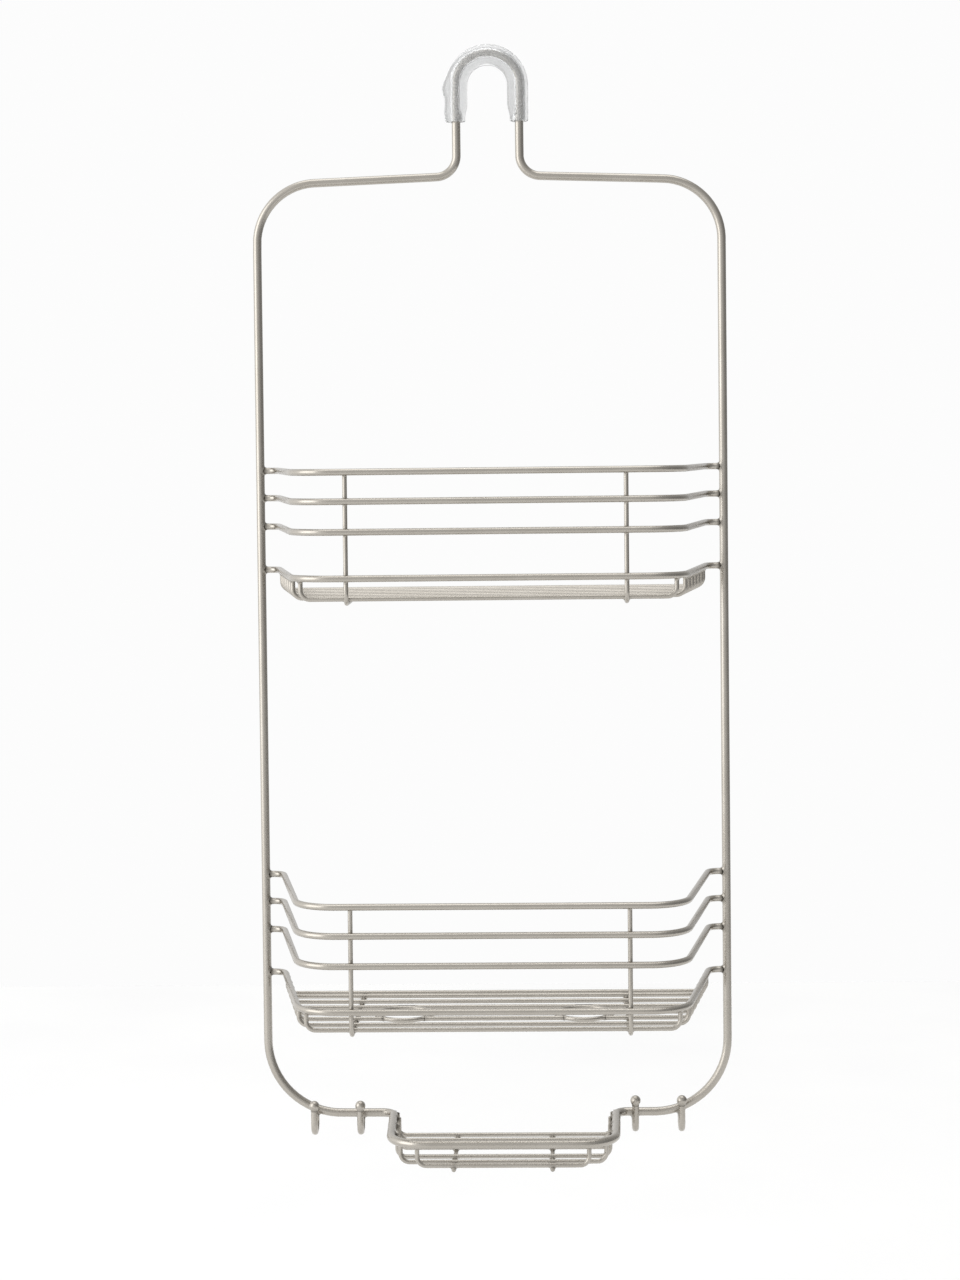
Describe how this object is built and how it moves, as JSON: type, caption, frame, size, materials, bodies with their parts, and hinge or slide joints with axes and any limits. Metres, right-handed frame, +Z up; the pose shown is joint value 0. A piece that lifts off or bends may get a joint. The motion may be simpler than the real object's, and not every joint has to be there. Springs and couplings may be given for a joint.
{
  "type": "shower caddy",
  "caption": "Wire shower caddy that hangs from the shower arm, with stacked baskets, bottle rings, a soap dish and small ball-tipped hooks.",
  "frame": {"origin": "centre of the hook's round saddle, on the axis of the shower arm it hangs from", "axes": "+Z up along the caddy's height, +Y towards the wall along the arm, +X across to the right as seen from the front"},
  "size_m": [0.2668, 0.117, 0.6219],
  "materials": {
    "satin_nickel": "satin nickel plated steel wire",
    "clear_vinyl": "clear soft vinyl"
  },
  "bodies": {
    "root": {"bottle_ring_left": "satin_nickel", "bottle_ring_right": "satin_nickel", "dish_cross_wire_left": "satin_nickel", "dish_cross_wire_right": "satin_nickel", "dish_rod_1": "satin_nickel", "dish_rod_2": "satin_nickel", "dish_rod_3": "satin_nickel", "dish_rod_4": "satin_nickel", "dish_rod_5": "satin_nickel", "dish_rod_6": "satin_nickel", "frame_wire": "satin_nickel", "hook_ball_inner_left": "satin_nickel", "hook_ball_inner_right": "satin_nickel", "hook_ball_outer_left": "satin_nickel", "hook_ball_outer_right": "satin_nickel", "hook_grip": "clear_vinyl", "lower_basket_rail_1": "satin_nickel", "lower_basket_rail_2": "satin_nickel", "lower_basket_rail_3": "satin_nickel", "lower_basket_rail_4": "satin_nickel", "lower_floor_rod_1": "satin_nickel", "lower_floor_rod_2": "satin_nickel", "lower_floor_rod_3": "satin_nickel", "lower_floor_rod_4": "satin_nickel", "lower_floor_rod_5_left": "satin_nickel", "lower_floor_rod_5_middle": "satin_nickel", "lower_floor_rod_5_right": "satin_nickel", "lower_floor_rod_6_left": "satin_nickel", "lower_floor_rod_6_middle": "satin_nickel", "lower_floor_rod_6_right": "satin_nickel", "lower_floor_rod_7": "satin_nickel", "lower_floor_rod_8": "satin_nickel", "lower_upright_left": "satin_nickel", "lower_upright_right": "satin_nickel", "side_hook_inner_left": "satin_nickel", "side_hook_inner_right": "satin_nickel", "side_hook_outer_left": "satin_nickel", "side_hook_outer_right": "satin_nickel", "upper_basket_rail_1": "satin_nickel", "upper_basket_rail_2": "satin_nickel", "upper_basket_rail_3": "satin_nickel", "upper_basket_rail_4": "satin_nickel", "upper_floor_rod_1": "satin_nickel", "upper_floor_rod_2": "satin_nickel", "upper_floor_rod_3": "satin_nickel", "upper_floor_rod_4": "satin_nickel", "upper_floor_rod_5": "satin_nickel", "upper_floor_rod_6": "satin_nickel", "upper_floor_rod_7": "satin_nickel", "upper_floor_rod_8": "satin_nickel", "upper_upright_left": "satin_nickel", "upper_upright_right": "satin_nickel"}
  },
  "joints": []
}
